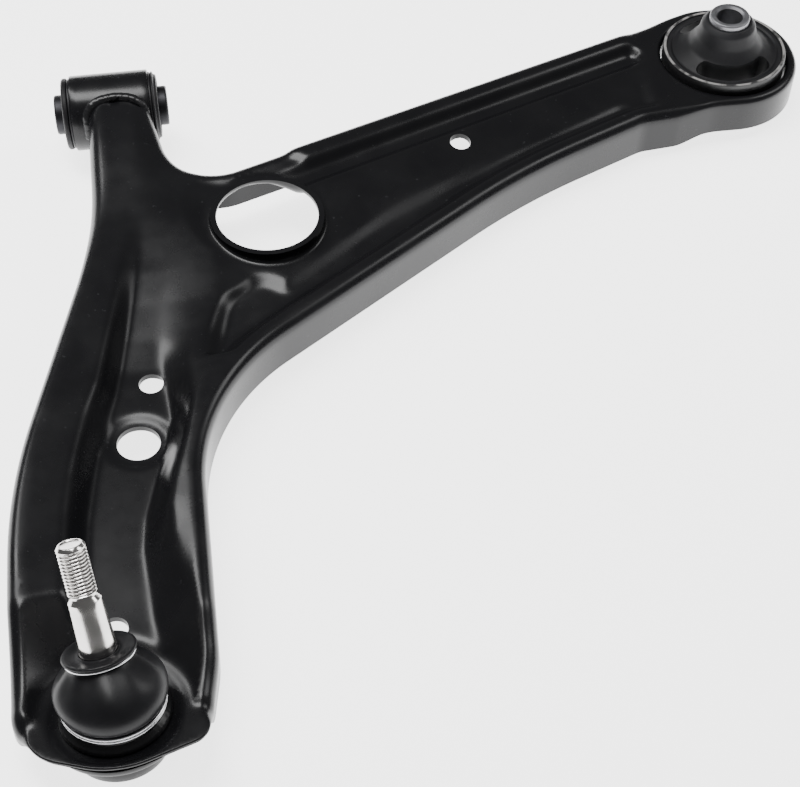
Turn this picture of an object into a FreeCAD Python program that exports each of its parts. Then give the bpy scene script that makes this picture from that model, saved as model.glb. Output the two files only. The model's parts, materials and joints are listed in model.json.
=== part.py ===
"""Front lower control arm: pressed arm, two bonded bushes and a ball joint.

Frame, in millimetres: the origin is the centre of the front bush's bore. +X runs along that
bore to the axis of the rear bush, +Z points up along the rear bush, and the ball joint lies
towards -Y.
"""
import os
from math import cos, radians, sin, tan

import FreeCAD, Part

V = FreeCAD.Vector
X, Y, Z = V(1, 0, 0), V(0, 1, 0), V(0, 0, 1)
ORIGIN = V(0, 0, 0)

# ---- pressed arm ---------------------------------------------------------------------------
SHEET = 3.0                 # steel thickness
RIM_Z = 9.0                 # crest of the rims, before the arm is tipped
FLANGE_Z = -15.0            # lower edge of the flange
REAR_FLANGE_Z = -11.0       # the flange is shallower round the rear boss
REAR_FLANGE_X = (304.0, 318.0)      # where the flange starts and stops climbing to that
FLOOR_Z = -6.0              # floor of the limb that carries the ball joint
ROLL = 6.0                  # radius between rim and flange
TIP_DOWN = 1.66             # degrees that the pressing slopes down towards the rear bush
NECK_LEFT, NECK_RIGHT = -12.5, 16.5
NECK_TOP = 16.0             # crest of the neck where it meets the front tube

# ---- front bush, bore along X --------------------------------------------------------------
TUBE_R, TUBE_BORE_R, TUBE_LEN = 20.0, 17.5, 42.0
SHELL_BORE_R = 16.0
LIP_R, LIP_END = 19.0, 25.5
FRONT_SLEEVE_R, FRONT_BORE_R, FRONT_SLEEVE_LEN = 10.5, 6.2, 60.0

# ---- rear bush, bore along Z ---------------------------------------------------------------
REAR_X = 340.7
CAN_R, CAN_WALL, CAN_TOP, CAN_HEIGHT = 34.0, 2.0, 4.0, 24.0
REAR_SLEEVE_R, REAR_BORE_R = 11.0, 7.1
REAR_SLEEVE_TOP, REAR_SLEEVE_BOTTOM = 26.0, -22.0
BOSS_R = 41.3
COLLAR_WALL = 2.8

# ---- ball joint ----------------------------------------------------------------------------
BALL = V(-12.0, -370.7, -7.9)      # centre of the ball
HOUSING_LEAN = 9.0                 # degrees, towards +Y
STUD_LEAN, STUD_LEAN_SIDE = 29.0, -7.0
BALL_R = 13.0
SEAT_R = 16.0
HOUSING_R = 20.5
PLATE_TOP = 4.0                    # arm's seat for the joint, above the ball's centre
SEAT_DISH_R = 26.0                 # room round the boot, down to the seat
BOOT_RING_S, NECK_RING_S = 11.0, 28.5
BOOT_WALL = 2.0
# share of the turn from the joint's axis to the stud's, distance from the ball's centre, radius
BOOT_STATIONS = [(0, 8.2, 20.3), (0, 12.4, 20.3), (0.12, 14.2, 22.2), (0.3, 16.8, 23.0),
                 (0.5, 19.8, 21.6), (0.7, 22.6, 18.6), (0.85, 24.7, 15.6), (1, 26.9, 13.5)]
SHOULDER_R = 7.9
FIT = 0.05                         # radial clearance of a running fit

# ---- holes in the arm ----------------------------------------------------------------------
BIG_HOLE = V(74.9, -101.5, 0)
BIG_HOLE_R, BIG_COLLAR_R, BIG_COLLAR_FLOOR = 26.0, 28.5, 2.0
SMALL_HOLES = {"wide": (3.4, -229.6, 10.0), "narrow": (10.9, -195.6, 5.8), "rear": (181.7, -54.8, 5.5),
               "drain": (-10.7, -330.3, 5.6)}

# Outlines are anticlockwise polygons with rounded corners: x, y, corner radius.
OUTLINE = [(NECK_LEFT, -8, 0), (NECK_LEFT, -103, 300), (-54.2, -260, 300),            # left side
           (-53.6, -372, 18), (-41.5, -390.5, 20), (-12, -401.5, 40), (24.5, -389, 9),  # tip
           (31.4, -352, 60), (32.8, -212.5, 108), (212, -82.8, 400),                    # near side
           (284, -49, 20), (304, -46.5, 20), (326, -41.5, 40),
           (REAR_X + BOSS_R, -40.5, 42), (REAR_X + BOSS_R, 62.8, 41),                   # rear boss
           (31.8, -75.3, 27), (NECK_RIGHT + 1.7, -8, 0)]                                # far side
POCKET = [(1, -112, 20), (-38, -262, 250), (-38, -388, 30), (23, -388, 30),
          (23, -232, 60), (42, -172, 60), (38, -112, 18)]
POCKET_SLOPE = 14.0         # width of the pocket's sloping sides
# grooves pressed into the rear limb: two ends, width
GROOVES = [((104, -68), (292, 8), 13.0), ((124, -113.5), (288, -26), 12.0)]
GROOVE_DEPTH = 5.0


def turned(profile, base=ORIGIN, axis=Z):
    """Solid of revolution: profile is a closed list of (radius, height along the axis)."""
    wire = Part.makePolygon([V(r, 0, h) for r, h in profile + profile[:1]])
    solid = Part.Face(wire).revolve(ORIGIN, Z, 360)
    return placed(solid, base, axis)


def placed(shape, base, axis):
    """Turn a shape built along Z so that Z becomes axis, and move it to base."""
    shape = shape.copy()
    shape.Placement = FreeCAD.Placement(base, FreeCAD.Rotation(Z, axis)).multiply(shape.Placement)
    return shape


def ring(r_out, r_in, h0, h1, base=ORIGIN, axis=Z):
    return turned([(r_in, h0), (r_out, h0), (r_out, h1), (r_in, h1)], base, axis)


def rod(r, h0, h1, base=ORIGIN, axis=Z):
    return placed(Part.makeCylinder(r, h1 - h0, V(0, 0, h0)), base, axis)


def one_solid(shape):
    """The largest solid, without the seams that a boolean leaves."""
    return max(shape.removeSplitter().Solids, key=lambda s: s.Volume)


# ---- arm -----------------------------------------------------------------------------------
def inset(corners, distance):
    """Move every side of an anticlockwise rounded polygon inwards and keep its arcs concentric."""
    moved = []
    for i, (x, y, r) in enumerate(corners):
        before, after = corners[i - 1], corners[(i + 1) % len(corners)]
        a = V(x - before[0], y - before[1], 0).normalize()
        b = V(after[0] - x, after[1] - y, 0).normalize()
        turn = a.cross(b).z
        shift = (b - a) * (distance / turn)
        radius = max(r - distance if turn > 0 else r + distance, 0) if r else 0
        moved.append((x + shift.x, y + shift.y, radius))
    return moved


def rounded_wire(corners, z):
    """Closed wire of lines and tangent arcs at height z."""
    edges, start, first = [], None, None
    for i, (x, y, r) in enumerate(corners):
        before, after = corners[i - 1], corners[(i + 1) % len(corners)]
        corner = V(x, y, z)
        a = V(before[0] - x, before[1] - y, 0).normalize()
        b = V(after[0] - x, after[1] - y, 0).normalize()
        half = a.getAngle(b) / 2
        p, q = corner + a * (r / tan(half)), corner + b * (r / tan(half))
        first = first or p
        if start:
            edges.append(Part.makeLine(start, p))
        if r:
            middle = corner + (a + b).normalize() * (r / sin(half) - r)
            edges.append(Part.Arc(p, middle, q).toShape())
        start = q
    edges.append(Part.makeLine(start, first))
    return Part.Wire(edges)


def arm_block(shift, z_low):
    """The outline as a block whose top edge is rolled over. shift is the inset of its walls."""
    top = RIM_Z - shift
    block = Part.Face(rounded_wire(inset(OUTLINE, shift), z_low)).extrude(V(0, 0, top - z_low))
    crest = [e for e in block.Edges if e.BoundBox.ZMin > top - 0.01 and e.BoundBox.YMin < -9]
    return block.makeFillet(ROLL - shift, crest)


def neck_block(shift, z_low):
    """The neck's hood, which climbs to the crest of the front tube."""
    x0, x1 = NECK_LEFT + 0.6 + shift, NECK_RIGHT - 0.6 - shift
    side = [(-95, z_low), (-95, RIM_Z - shift - 1), (-45, 13.5 - shift), (-8, NECK_TOP - shift),
            (-8, z_low)]
    wire = Part.makePolygon([V(x0, y, z) for y, z in side + side[:1]])
    return Part.Face(wire).extrude(V(x1 - x0, 0, 0))


def pocket_block(drop):
    """The limb's tapered pocket, lowered by drop, as the solid that fills it."""
    over = 1.0              # the pocket's crest outline, carried on above the rim
    slope = POCKET_SLOPE / (RIM_Z - FLOOR_Z)
    wires = [rounded_wire(inset(POCKET, POCKET_SLOPE), FLOOR_Z - drop),
             rounded_wire(inset(POCKET, -over * slope), RIM_Z + over - drop)]
    return Part.makeLoft(wires, True, True)


def groove_block(start, end, width, z_low, z_high):
    """A straight slot with round ends."""
    a, b = V(start[0], start[1], z_low), V(end[0], end[1], z_low)
    along = (b - a).normalize()
    side = V(-along.y, along.x, 0) * (width / 2)
    back = along * (width / 2)
    edges = [Part.makeLine(a - side, b - side), Part.Arc(b - side, b + back, b + side).toShape(),
             Part.makeLine(b + side, a + side), Part.Arc(a + side, a - back, a - side).toShape()]
    return Part.Face(Part.Wire(edges)).extrude(V(0, 0, z_high - z_low))


def joint_axis():
    return V(0, sin(radians(HOUSING_LEAN)), cos(radians(HOUSING_LEAN)))


def stud_axis():
    return V(tan(radians(STUD_LEAN_SIDE)), tan(radians(STUD_LEAN)), 1).normalize()


def tip_slab(low, high, inner=31):
    """Slab square to the ball joint's axis, between two heights above the ball's centre.

    It runs from beyond the tip to inner, measured from the ball towards +Y.
    """
    slab = Part.makeBox(130, inner + 45, high - low, V(-65, -45, low))
    return placed(slab, BALL, joint_axis())


def rear_flange_cut():
    """What is trimmed off the flange round the rear boss."""
    (x0, x1), x2 = REAR_FLANGE_X, REAR_X + 60
    side = [(x0, FLANGE_Z - 20), (x2, FLANGE_Z - 20), (x2, REAR_FLANGE_Z), (x1, REAR_FLANGE_Z),
            (x0, FLANGE_Z)]
    wire = Part.makePolygon([V(x, -100, z) for x, z in side + side[:1]])
    return Part.Face(wire).extrude(V(0, 200, 0))


def make_arm_body():
    outer = arm_block(0, FLANGE_Z).fuse(neck_block(0, FLANGE_Z + 3))
    body = outer.cut(arm_block(SHEET, FLANGE_Z - 5)).cut(neck_block(SHEET, FLANGE_Z - 5))
    below_rim = arm_block(SHEET / 2, FLANGE_Z)
    body = body.fuse(pocket_block(SHEET).common(below_rim))
    for start, end, width in GROOVES:
        skin = groove_block(start, end, width + 2 * SHEET, RIM_Z - GROOVE_DEPTH - SHEET, RIM_Z - 1)
        body = body.fuse(skin)
    body = body.fuse(rod(BIG_COLLAR_R + 8, BIG_COLLAR_FLOOR - SHEET, RIM_Z, BIG_HOLE))
    body = body.cut(pocket_block(0))
    for start, end, width in GROOVES:
        body = body.cut(groove_block(start, end, width, RIM_Z - GROOVE_DEPTH, RIM_Z + 1))
    body = body.cut(ring(BIG_COLLAR_R + 5, BIG_COLLAR_R, BIG_COLLAR_FLOOR, RIM_Z + 1, BIG_HOLE))
    body = body.cut(rod(BIG_HOLE_R, -30, 30, BIG_HOLE))
    for x, y, r in SMALL_HOLES.values():
        body = body.cut(rod(r, -30, 30, V(x, y, 0)))
    body = body.cut(rear_flange_cut())
    body.rotate(ORIGIN, Y, TIP_DOWN)

    body = with_joint_seat(body)
    body = body.fuse(ring(CAN_R + COLLAR_WALL, CAN_R, -18, -3, V(REAR_X, 0, 0)))
    body = body.cut(rod(CAN_R, -40, 40, V(REAR_X, 0, 0)))
    body = body.cut(rod(TUBE_R, -30, 30, ORIGIN, X))
    return one_solid(body)


def with_joint_seat(body):
    """Flat inclined seat at the tip, inside the outline, with a hole for the joint's housing."""
    under = PLATE_TOP - SHEET
    body = body.cut(tip_slab(PLATE_TOP, 40, inner=3))
    body = body.fuse(tip_slab(under, PLATE_TOP).common(arm_block(SHEET / 2, FLANGE_Z)))
    body = body.cut(tip_slab(under - 60, under, inner=-15))
    body = body.cut(rod(SEAT_DISH_R, PLATE_TOP, 30, BALL, joint_axis()))
    return body.cut(rod(HOUSING_R, -60, 60, BALL, joint_axis()))


# ---- front bush ----------------------------------------------------------------------------
def make_front_bush_tube():
    half = TUBE_LEN / 2
    return ring(TUBE_R, TUBE_BORE_R, -half, half, ORIGIN, X)


def make_front_tube_weld():
    """Fillet weld that follows the neck's arched end round the tube."""
    bead = ring(TUBE_R + 2.2, TUBE_R, -18, 18, ORIGIN, X)
    hood = neck_block(-1.6, FLANGE_Z + 3).cut(neck_block(0, FLANGE_Z - 5))
    near = Part.makeBox(60, 30, 60, V(-30, -30, -5))
    return one_solid(bead.common(hood).common(near))


def make_front_bush_shell():
    half = TUBE_LEN / 2
    flange = LIP_R - 0.6
    profile = [(SHELL_BORE_R, -half - 1.2), (flange, -half - 1.2), (flange, -half), (TUBE_BORE_R, -half),
               (TUBE_BORE_R, half), (flange, half), (flange, half + 1.2), (SHELL_BORE_R, half + 1.2)]
    return turned(profile, ORIGIN, X)


def make_front_bush_rubber():
    half = TUBE_LEN / 2 + 1.2
    r_in = FRONT_SLEEVE_R + FIT
    profile = [(r_in, -LIP_END), (LIP_R - 1.5, -LIP_END), (LIP_R, -LIP_END + 1.5), (LIP_R, -half),
               (SHELL_BORE_R, -half), (SHELL_BORE_R, half), (LIP_R, half), (LIP_R, LIP_END - 1.5),
               (LIP_R - 1.5, LIP_END), (r_in, LIP_END)]
    return turned(profile, ORIGIN, X)


def make_front_bush_sleeve():
    half = FRONT_SLEEVE_LEN / 2
    return ring(FRONT_SLEEVE_R, FRONT_BORE_R, -half, half, ORIGIN, X)


# ---- rear bush -----------------------------------------------------------------------------
def make_rear_bush_can():
    bottom = CAN_TOP - CAN_HEIGHT
    return ring(CAN_R, CAN_R - CAN_WALL, bottom, CAN_TOP, V(REAR_X, 0, 0))


def make_rear_bush_rubber():
    """Cone of rubber from the can up to the sleeve, with a void on the near and far sides."""
    r_in, r_out, bottom = REAR_SLEEVE_R + FIT, CAN_R - CAN_WALL, CAN_TOP - CAN_HEIGHT
    profile = [(r_in, bottom + 3), (r_out, bottom + 3), (r_out, CAN_TOP - 0.5), (r_out - 4, CAN_TOP - 1),
               (18, CAN_TOP + 5), (13.5, REAR_SLEEVE_TOP - 4), (r_in, REAR_SLEEVE_TOP - 2.5)]
    rubber = turned(profile, V(REAR_X, 0, 0))
    for middle in (90, 270):
        void = ring(28.5, 20.5, bottom - 1, CAN_TOP + 12)
        wedge = Part.makeCylinder(40, 60, V(0, 0, bottom - 2), Z, 100)
        wedge.rotate(ORIGIN, Z, middle - 50)
        rubber = rubber.cut(placed(void.common(wedge), V(REAR_X, 0, 0), Z))
    return one_solid(rubber)


def make_rear_bush_sleeve():
    return ring(REAR_SLEEVE_R, REAR_BORE_R, REAR_SLEEVE_BOTTOM, REAR_SLEEVE_TOP, V(REAR_X, 0, 0))


# ---- ball joint ----------------------------------------------------------------------------
def on_joint(profile):
    return turned(profile, BALL, joint_axis())


def make_ball_joint_housing():
    """Cup pressed up through the arm: flared mouth, groove for the boot, open base."""
    return on_joint([(SEAT_R, -17), (HOUSING_R, -17), (HOUSING_R, PLATE_TOP + 4), (18.2, PLATE_TOP + 4),
                     (18.2, 14), (15.4, 14), (12.4, 9), (SEAT_R, 9)])


def make_ball_joint_doubler():
    """Ring that doubles the sheet under the joint's seat."""
    under = PLATE_TOP - SHEET
    return on_joint([(HOUSING_R, under - SHEET), (29, under - SHEET), (29, under), (HOUSING_R, under)])


def make_ball_joint_cover():
    return on_joint([(0, -17), (0, -15.4), (SEAT_R, -15.4), (SEAT_R, -17)])


def make_ball_joint_weld():
    return on_joint([(HOUSING_R, PLATE_TOP), (HOUSING_R + 3, PLATE_TOP), (HOUSING_R, PLATE_TOP + 3)])


def ball_pocket():
    return placed(Part.makeSphere(BALL_R + FIT), BALL, joint_axis())


def make_ball_seat_upper():
    ring_solid = on_joint([(9, 0), (SEAT_R - FIT, 0), (SEAT_R - FIT, 9 - FIT), (12.6, 9 - FIT),
                           (11.0, 6), (9, 6)])
    return one_solid(ring_solid.cut(ball_pocket()))


def make_ball_seat_lower():
    cup = on_joint([(0, -14), (SEAT_R - FIT, -14), (SEAT_R - FIT, -FIT), (0, -FIT)])
    return one_solid(cup.cut(ball_pocket()))


def make_preload_spring():
    """Conical washer between the cover and the lower seat."""
    return on_joint([(8, -15.4), (9.2, -15.4), (15.5, -14.6), (15.5, -14.05), (14.3, -14.05), (8, -14.85)])


def make_ball_stud():
    """Ball, waist, shoulder, 1:10 taper, undercut and M12 thread, as one turned piece."""
    stem = [(0, 5), (5.8, 5), (5.8, 16), (SHOULDER_R, 21), (SHOULDER_R, 31), (6.8, 54), (5.3, 55.5), (5.3, 57),
            (6.0, 57.7), (6.0, 76.5), (4.8, 78), (0, 78)]
    stem = turned(stem, BALL, stud_axis())
    ball = placed(Part.makeSphere(BALL_R), BALL, stud_axis())
    return one_solid(ball.fuse(stem))


def boot_form(grow):
    """Boot's form: circles square to a direction that turns from the joint's axis to the stud's."""
    wires = []
    for share, distance, radius in BOOT_STATIONS:
        axis = (joint_axis() * (1 - share) + stud_axis() * share).normalize()
        wires.append(Part.Wire(Part.makeCircle(radius + grow, BALL + axis * distance, axis)))
    return Part.makeLoft(wires, True, True)


def make_dust_boot():
    """Bellied skin, and a lip that seals on the stud's shoulder above the upper wire ring."""
    r_in = SHOULDER_R + FIT
    lip = [(r_in, 25.8), (13.1, 25.8), (13.1, 29.4), (15.5, 29.4), (15.5, 31), (r_in, 31)]
    skin = boot_form(0).cut(boot_form(-BOOT_WALL))
    return one_solid(skin.fuse(turned(lip, BALL, stud_axis())))


def torus_ring(radius, wire_r, s, axis):
    return placed(Part.makeTorus(radius, wire_r), BALL + axis * s, axis)


def make_boot_lower_ring():
    """Two turns of round wire."""
    turns = [torus_ring(21.2, 0.7, BOOT_RING_S + d, joint_axis()) for d in (-1.45, 0)]
    return Part.makeCompound(turns)


def make_boot_upper_ring():
    return torus_ring(14.35, 0.7, NECK_RING_S, stud_axis())


MAKERS = [make_arm_body,
          make_front_bush_tube, make_front_tube_weld, make_front_bush_shell, make_front_bush_rubber,
          make_front_bush_sleeve, make_rear_bush_can, make_rear_bush_rubber, make_rear_bush_sleeve,
          make_ball_joint_housing, make_ball_joint_doubler, make_ball_joint_cover,
          make_ball_joint_weld, make_ball_seat_upper, make_ball_seat_lower, make_preload_spring,
          make_ball_stud, make_dust_boot, make_boot_lower_ring, make_boot_upper_ring]


def main():
    os.makedirs("parts", exist_ok=True)
    for maker in MAKERS:
        node, shape = maker.__name__[5:], maker()
        print(f"{node:22s} valid {shape.isValid()} solids {len(shape.Solids)} volume {shape.Volume:10.1f}")
        shape.exportStep(f"parts/{node}.step")


main()
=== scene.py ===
"""Looks of the front lower control arm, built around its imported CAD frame.

Lengths are in millimetres, in the CAD's frame, and become metres where a mesh is made. The
pressing's own shape is worked out in the sheet's frame, which is then tipped about +Y.
"""
import json
from math import atan2, ceil, cos, hypot, pi, radians, sin, sqrt, tan

import bmesh
import bpy
import numpy as np
from mathutils import Matrix, Vector
from mathutils.geometry import delaunay_2d_cdt


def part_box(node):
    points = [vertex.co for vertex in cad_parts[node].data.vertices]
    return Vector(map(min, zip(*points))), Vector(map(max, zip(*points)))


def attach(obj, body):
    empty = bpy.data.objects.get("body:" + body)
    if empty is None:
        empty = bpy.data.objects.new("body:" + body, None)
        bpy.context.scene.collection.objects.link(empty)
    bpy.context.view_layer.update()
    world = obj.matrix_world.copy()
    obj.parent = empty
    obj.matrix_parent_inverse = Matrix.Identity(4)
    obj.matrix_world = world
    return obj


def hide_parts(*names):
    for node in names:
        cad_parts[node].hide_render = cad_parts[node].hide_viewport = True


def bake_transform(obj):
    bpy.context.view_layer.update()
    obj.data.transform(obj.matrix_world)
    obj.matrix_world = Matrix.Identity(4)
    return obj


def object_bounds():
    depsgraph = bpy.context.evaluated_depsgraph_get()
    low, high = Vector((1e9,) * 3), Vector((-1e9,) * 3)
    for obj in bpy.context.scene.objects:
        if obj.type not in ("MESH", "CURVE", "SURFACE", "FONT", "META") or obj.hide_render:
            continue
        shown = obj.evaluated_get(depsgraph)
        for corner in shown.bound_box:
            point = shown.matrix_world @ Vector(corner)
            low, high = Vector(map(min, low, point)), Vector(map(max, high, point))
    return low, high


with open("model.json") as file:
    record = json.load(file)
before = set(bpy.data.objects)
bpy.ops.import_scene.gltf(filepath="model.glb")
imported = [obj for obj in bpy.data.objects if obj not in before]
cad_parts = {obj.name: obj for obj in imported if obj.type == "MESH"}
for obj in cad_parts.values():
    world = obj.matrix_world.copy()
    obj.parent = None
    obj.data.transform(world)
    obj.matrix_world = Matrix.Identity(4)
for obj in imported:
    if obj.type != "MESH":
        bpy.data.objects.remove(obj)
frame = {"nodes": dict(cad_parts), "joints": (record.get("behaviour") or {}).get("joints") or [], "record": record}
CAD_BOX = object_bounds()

MM = 0.001
JOINTS = {joint["name"]: joint for joint in frame["joints"]}


def mm(point):
    """A point in millimetres, from metres."""
    return np.array(point, float) / MM


def cad_box(node):
    """Lowest and highest corner of a CAD node, in millimetres."""
    low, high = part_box(node)
    return mm(low), mm(high)


# ---- camera --------------------------------------------------------------------------------
CAMERA_AT = (50.2, -734.7, 594.0)
CAMERA_AZIMUTH, CAMERA_DOWN = 8.31, 49.0      # degrees right of +Y, degrees below level
FOCAL, SENSOR = 76.5, 36.0

view = bpy.data.cameras.new("camera")
view.lens, view.sensor_width = FOCAL, SENSOR
view.clip_start, view.clip_end = 0.02, 50
camera = bpy.data.objects.new("camera", view)
camera.location = Vector(CAMERA_AT) * MM
camera.rotation_euler = (radians(90 - CAMERA_DOWN), 0, radians(-CAMERA_AZIMUTH))
bpy.context.scene.collection.objects.link(camera)
bpy.context.scene.camera = camera

# ---- driving dimensions --------------------------------------------------------------------
SHEET = 3.0                                   # the steel's thickness
TIP_DOWN = radians(1.66)                      # the sheet's frame to the CAD's, about +Y
RIM = 9.0                                     # crest of the rims
FLANGE, REAR_FLANGE, NECK_FLANGE = -15.0, -11.0, -12.0      # lower edges of the flange
ROLL = 6.0                                    # radius of the roll from rim to flange
TUBE_R = (cad_box("front_bush_tube")[1] - cad_box("front_bush_tube")[0])[1] / 2
REAR_X = (cad_box("rear_bush_sleeve")[0] + cad_box("rear_bush_sleeve")[1])[0] / 2
CAN_R = (cad_box("rear_bush_can")[1] - cad_box("rear_bush_can")[0])[0] / 2
BOSS_R = 41.3
NECK_LEFT, NECK_RIGHT, NECK_END = -12.5, 18.2, -8.0
NECK_TOP = 16.0

BALL = mm(JOINTS["stud_lean"]["pos_m"])
HOUSING_AXIS = np.array(JOINTS["stud_lean_direction"]["axis"])
STUD_AXIS = np.array(JOINTS["stud_spin"]["axis"])
SEAT_TOP = 4.0                                # the sheet's seat, above the ball along the axis

# Rounded polygons, anticlockwise: x, y, corner radius.
OUTLINE = [(NECK_LEFT, NECK_END, 0), (NECK_LEFT, -103, 300), (-54.2, -260, 300),
           (-53.6, -372, 18), (-41.5, -390.5, 20), (-12, -401.5, 40), (24.5, -389, 9),
           (31.4, -352, 60), (32.8, -212.5, 108), (212, -82.8, 400),
           (284, -49, 20), (304, -46.5, 20), (326, -41.5, 40),
           (REAR_X + BOSS_R, -40.5, 42), (REAR_X + BOSS_R, 62.8, 41),
           (31.8, -75.3, 27), (NECK_RIGHT, NECK_END, 0)]
POCKET = [(46, -189, 2), (72, -162, 60), (118, -129, 120), (198, -82, 300), (290, -37, 3),
          (297, -25, 8), (215, -65, 200), (140, -104, 200), (80, -150, 5), (68, -142, 8),
          (52, -152, 14), (45, -178, 60)]
# The limb's section changes along y: crest and floor on the left, floor and crest on the right,
# inner edge of the near rim, then the heights of the floor and of the two crests.
LIMB = [(-90, 4, 12, 38, 47, 60, 9.0, 9.0, 9.0), (-110, 3, 11, 32, 47, 60, 7.2, 9.0, 7.2),
        (-130, 0, 8, 24, 46.5, 60, 4.0, 8.6, 5.2), (-150, -3, 4, 19, 46, 60, 0.0, 8.0, 4.2),
        (-170, -6.5, 0, 15, 38, 60, -3.4, 7.2, 3.6), (-188, -10, -3.5, 16, 31, 46, -5.6, 6.4, 4.4),
        (-202, -13, -6, 18, 30.5, 38, -6, 6, 6.2), (-220, -19, -10.5, 20, 29, 31, -6, 5.8, 7.6),
        (-238, -23, -15, 16, 25, 28, -6, 5.8, 7.4), (-255, -26.5, -17.5, 10.5, 20, 26.5, -6, 5.8, 6.6),
        (-275, -28.5, -20.5, 5, 16.5, 26, -6, 5.8, 6.0), (-292, -29.3, -21.5, 3, 17, 26, -6, 5.8, 5.8),
        (-324, -30, -22.5, 5, 21.5, 26, -6, 5.6, 5.6), (-345, -30, -22.5, 8, 24.5, 26.5, -6, 5.4, 5.8),
        (-420, -30, -22.5, 9, 24.5, 26.5, -6, 5.4, 5.8)]
BIG_HOLE, COLLAR_R, COLLAR_TOP = (74.9, -101.5), 28.8, 8.8
# Centre and radius of the wide and narrow holes in the limb, the web's hole and the drain hole.
SMALL_HOLES = [((3.4, -229.6), 10.0), ((10.9, -195.6), 5.8), ((181.7, -54.8), 5.5),
               ((-10.7, -330.3), 5.6)]
FAR_GROOVE = [(46, -98), (54, -84), (68, -76.5), (94, -73), (288, 6)]
FAR_GROOVE_WIDTH, FAR_GROOVE_DEPTH = 13.0, 5.0
POCKET_DEPTH = 2.6
FLAT_LIMB_RIM, FLAT_WEB_RIM = 7.5, 9.3        # width of the rim's flat crest, from the outline


# ---- small helpers -------------------------------------------------------------------------
def unit(v):
    """The vector at length 1."""
    v = np.asarray(v, float)
    return v / np.linalg.norm(v)


def smooth(t):
    """Eased step from 0 at t = 0 to 1 at t = 1."""
    t = np.clip(t, 0, 1)
    return t * t * (3 - 2 * t)


def rounded(corners, step, closed=True):
    """Points along a polygon of (x, y, corner radius), about step apart."""
    points = []
    for i, (x, y, r) in enumerate(corners):
        corner = np.array([x, y], float)
        a = unit(np.array(corners[i - 1][:2]) - corner)
        b = unit(np.array(corners[(i + 1) % len(corners)][:2]) - corner)
        if not r:
            points.append([corner])
            continue
        half = np.arccos(np.clip(a @ b, -1, 1)) / 2
        p, q = corner + a * r / tan(half), corner + b * r / tan(half)
        centre = corner + unit(a + b) * r / sin(half)
        start, end = atan2(*(p - centre)[::-1]), atan2(*(q - centre)[::-1])
        sweep = (end - start + pi) % (2 * pi) - pi
        n = max(2, int(ceil(abs(sweep) * r / step)))
        angles = start + sweep * np.arange(n + 1) / n
        points.append(centre + r * np.stack([np.cos(angles), np.sin(angles)], 1))
    line = []
    for i, run in enumerate(points):
        line.extend(run)
        if i + 1 < len(points) or closed:
            p, q = np.array(run[-1]), np.array(points[(i + 1) % len(points)][0])
            n = int(ceil(hypot(*(q - p)) / step))
            line.extend(p + (q - p) * k / n for k in range(1, n))
    return np.array(line)


def signed_distance(points, polygon):
    """Distance to a closed polygon, negative inside it."""
    a, b = polygon, np.roll(polygon, -1, 0)
    best, inside = np.full(len(points), 1e9), np.zeros(len(points), bool)
    for p, q in zip(a, b):
        d = q - p
        t = np.clip((points - p) @ d / (d @ d), 0, 1)
        best = np.minimum(best, np.hypot(*(points - p - t[:, None] * d).T))
        crosses = (p[1] > points[:, 1]) != (q[1] > points[:, 1])
        with np.errstate(divide="ignore", invalid="ignore"):
            side = p[0] + (points[:, 1] - p[1]) * d[0] / d[1]
        inside ^= crosses & (points[:, 0] < side)
    return np.where(inside, -best, best)


def distance_to_path(points, path):
    """Distance to an open chain of straight stretches."""
    best = np.full(len(points), 1e9)
    for p, q in zip(path, path[1:]):
        p, q = np.array(p, float), np.array(q, float)
        t = np.clip((points - p) @ (q - p) / ((q - p) @ (q - p)), 0, 1)
        best = np.minimum(best, np.hypot(*(points - p - t[:, None] * (q - p)).T))
    return best


def circle(centre, r, n):
    """n points round a circle."""
    angles = np.arange(n) * 2 * pi / n
    return np.array(centre) + r * np.stack([np.cos(angles), np.sin(angles)], 1)


def shaded(mesh, sharp):
    """Smooth shading that breaks at edges sharper than an angle in degrees."""
    mesh.shade_smooth()
    mesh.set_sharp_from_angle(angle=radians(sharp))


def mesh_object(name, verts, faces, material, sharp):
    """A smooth-shaded object from points in millimetres, with its material."""
    mesh = bpy.data.meshes.new(name)
    mesh.from_pydata([tuple(np.array(v) * MM) for v in verts], [], [tuple(map(int, f)) for f in faces])
    mesh.validate()
    shaded(mesh, sharp)
    mesh.materials.append(material)
    obj = bpy.data.objects.new(name, mesh)
    bpy.context.scene.collection.objects.link(obj)
    return obj


def baked(obj):
    """Apply the object's modifiers to its mesh."""
    bpy.context.view_layer.update()
    graph = bpy.context.evaluated_depsgraph_get()
    obj.data = bpy.data.meshes.new_from_object(obj.evaluated_get(graph))
    obj.modifiers.clear()
    return obj


def axes_for(axis):
    """Two directions square to axis, and axis."""
    w = unit(axis)
    u = unit(np.cross([0, 1, 0] if abs(w[1]) < 0.9 else [1, 0, 0], w))
    return u, np.cross(w, u), w


def rings_mesh(name, rings, body, material, replaces=(), sharp=35):
    """Closed mesh through rings of equally many points; a ring of one point is a pole."""
    verts, index = [], []
    for ring in rings:
        index.append(list(range(len(verts), len(verts) + len(ring))))
        verts.extend(ring)
    faces = []
    for a, b in zip(index, index[1:] + index[:1]):
        if len(a) == len(b) == 1:
            continue
        n = max(len(a), len(b))
        for k in range(n):
            face = [a[k % len(a)], a[(k + 1) % len(a)], b[(k + 1) % len(b)], b[k % len(b)]]
            faces.append([f for j, f in enumerate(face) if f != face[j - 1]])
    obj = mesh_object(name, verts, faces, material, sharp)
    work = bmesh.new()
    work.from_mesh(obj.data)
    bmesh.ops.recalc_face_normals(work, faces=work.faces)
    work.to_mesh(obj.data)
    work.free()
    shaded(obj.data, sharp)
    if body:
        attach(obj, body)
    if replaces:
        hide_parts(*replaces)
    return obj


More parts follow.
